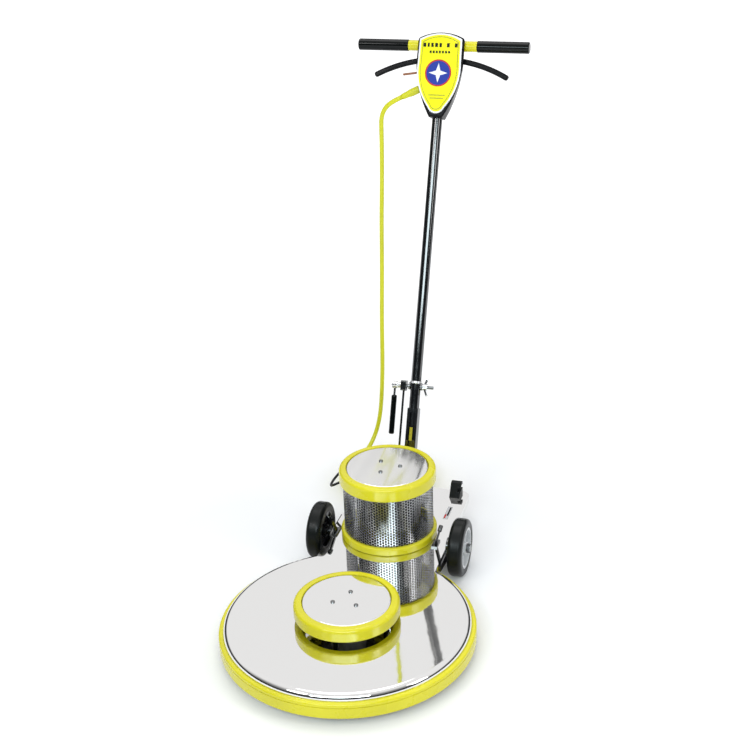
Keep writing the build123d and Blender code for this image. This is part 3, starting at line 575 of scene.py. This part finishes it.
def printed_face():
    """The face plate's white margin, yellow field, thin line, rows of plain blocks and a plain star badge."""
    def layer(level):
        return lambda x, y, t: on_handle(x, y, FACE_FRONT + level + t)

    def printed(name, outline, level, material):
        return plate(name, outline, 0.0004, layer(level), material, "handle", 0.0001)

    back = plate("face_margin", shield(0.0), 0.0016, layer(0.0), white_print, "handle", 0.0006)
    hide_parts("face_plate")
    printed("face_field", shield(0.0042), FIELD, looks["face_label"])
    printed("face_line", shield(0.0085), LINE, olive_print)
    printed("face_inner", shield(0.0098), INNER, looks["face_label"])
    badge = (-0.0005, 1.060)
    printed("badge_ring", circle(0.0335, *badge), FIRST_INK, red_print)
    printed("badge_disc", circle(0.0300, *badge), SECOND_INK, blue_print)
    printed("badge_star", star(0.024, 0.008, *badge), THIRD_INK, white_print)
    x = -0.0435
    for i, w in enumerate(BLOCK_WIDTHS):
        if w:
            printed(f"face_block_{i}", bar_outline(x, x + w * 0.001, 1.1235, 1.1335), FIRST_INK, dark_print)
        x += max(w, 5) * 0.001 + 0.0040
    for i in range(7):
        x = -0.026 + 0.0078 * i
        printed(f"face_mark_{i}", bar_outline(x, x + 0.0048, 1.1085, 1.1145), FIRST_INK, dark_print)
    printed("face_line_upper", bar_outline(-0.021, 0.021, 1.0045, 1.0062), FIRST_INK, olive_print)
    printed("face_line_lower", bar_outline(-0.017, 0.017, 0.9970, 0.9986), FIRST_INK, olive_print)


def small_fittings():
    """A plain rating plate on the tail, a plain strip on the handle's channel and the clamp's saddle."""
    def on_tail(x, y, t):
        return Vector((x, y, DECK_Z + 0.0001 + t))

    for name, outline, thick, material, slot in (
            ("rating_plate", (0.106, 0.118, 0.455, 0.515), 0.0006, looks["bearing_steel"], "bearing_steel"),
            ("rating_band", (0.112, 0.116, 0.470, 0.511), 0.0009, dark_print, "face_label"),
            ("rating_spot", (0.107, 0.111, 0.458, 0.476), 0.0009, red_print, "face_label")):
        plate(name, bar_outline(*outline), thick, on_tail, material, "chassis")
    plate("channel_strip", bar_outline(-0.0037, 0.0037, 0.141, 0.175), 0.0006,
          lambda x, y, t: on_handle(x, y, CHANNEL_FRONT + t), olive_sticker, "handle")
    lathe("clamp_saddle", [(0.0131, 0.286), (0.0150, 0.286), (0.0150, 0.292), (0.0131, 0.292)],
          lambda x, y, h: on_handle(x, h, y), looks["chrome_fittings"], "handle")


# ---- stage -----------------------------------------------------------------------------------

def area(name, place, target, size, watts, color=(1, 1, 1)):
    """A rectangular light that faces a target."""
    light = bpy.data.lights.new(name, "AREA")
    light.shape, light.size, light.size_y, light.energy, light.color = "RECTANGLE", *size, watts, color
    o = bpy.data.objects.new(name, light)
    o.location = place
    o.rotation_mode = "QUATERNION"
    o.rotation_quaternion = (Vector(target) - Vector(place)).to_track_quat("-Z", "Y")
    bpy.context.scene.collection.objects.link(o)


def studio():
    """A white floor that glows further out, a sky that is bright overhead and dimmer in front, and four lights."""
    floor_mesh = bpy.data.meshes.new("floor")
    half = 16
    corners = [(-half, -half, 0), (half, -half, 0), (half, half, 0), (-half, half, 0)]
    floor_mesh.from_pydata(corners, [], [(0, 1, 2, 3)])
    floor = bpy.data.objects.new("floor", floor_mesh)
    white = shader("floor_white", (0.85, 0.85, 0.86), 0.0, 0.7, Specular_IOR_Level=0.0,
                   Emission_Color=(1, 1, 1, 1))
    far = node(white, "ShaderNodeVectorMath")
    far.operation = "LENGTH"
    link(white, coordinates(white), far.inputs[0])
    glow = node(white, "ShaderNodeMapRange", From_Min=0.7, From_Max=3.2, To_Min=0.06, To_Max=0.6)
    link(white, far.outputs["Value"], glow.inputs["Value"])
    link(white, glow.outputs["Result"], base(white).inputs["Emission Strength"])
    floor_mesh.materials.append(white)
    bpy.context.scene.collection.objects.link(floor)
    world = bpy.data.worlds.new("studio")
    bpy.context.scene.world = world
    world.use_nodes = True
    split = node(world, "ShaderNodeSeparateXYZ")
    link(world, node(world, "ShaderNodeTexCoord").outputs["Generated"], split.inputs[0])

    def sky(*stops):
        """Brightness by height, very slightly blue."""
        return ramp(world, split.outputs["Z"], [(at, (value, value, value * 1.01)) for at, value in stops])

    behind = sky((0.0, 0.06), (0.34, 0.08), (0.45, 0.93), (1.0, 0.98))
    front = sky((0.0, 0.03), (0.32, 0.05), (0.66, 0.4), (0.9, 0.9))
    back = node(world, "ShaderNodeMapRange", From_Min=-0.35, From_Max=0.1)
    mix = node(world, "ShaderNodeMix")
    mix.data_type = "RGBA"
    link(world, split.outputs["Y"], back.inputs["Value"])
    link(world, back.outputs["Result"], mix.inputs["Factor"])
    link(world, front, mix.inputs["A"])
    link(world, behind, mix.inputs["B"])
    link(world, mix.outputs["Result"], world.node_tree.nodes["Background"].inputs["Color"])
    area("key", (-2.0, -3.0, 3.6), (0, 0.3, 0.5), (1.1, 1.1), 30)
    area("window", (0.55, -3.3, 2.75), (0, 0.7, 0.8), (3.4, 1.1), 95, (0.82, 0.96, 1.0))
    area("side", (3.6, -0.6, 2.4), (0, 0.3, 0.4), (1.0, 1.6), 22)
    area("top", (-0.5, 1.6, 5.0), (0, 0.5, 0.4), (2.5, 2.5), 40)
    bpy.context.scene.view_settings.view_transform = "Standard"


def camera():
    """The view that the object was seen from."""
    data = bpy.data.cameras.new("camera")
    cam = bpy.data.objects.new("camera", data)
    right, up, back = (0.9588, 0.2822, -0.0343), (-0.0890, 0.4126, 0.9065), (0.2699, -0.8661, 0.4207)
    turn = Matrix((right, up, back)).transposed().to_4x4()
    cam.matrix_world = Matrix.Translation((0.8089, -2.3215, 1.7997)) @ turn
    data.sensor_width, data.lens = 36.0, 64.02
    bpy.context.scene.collection.objects.link(cam)
    bpy.context.scene.camera = cam


camera()
mains_cord()
relief_boot()
motor_cable()
motor_screen()
printed_face()
small_fittings()
studio()
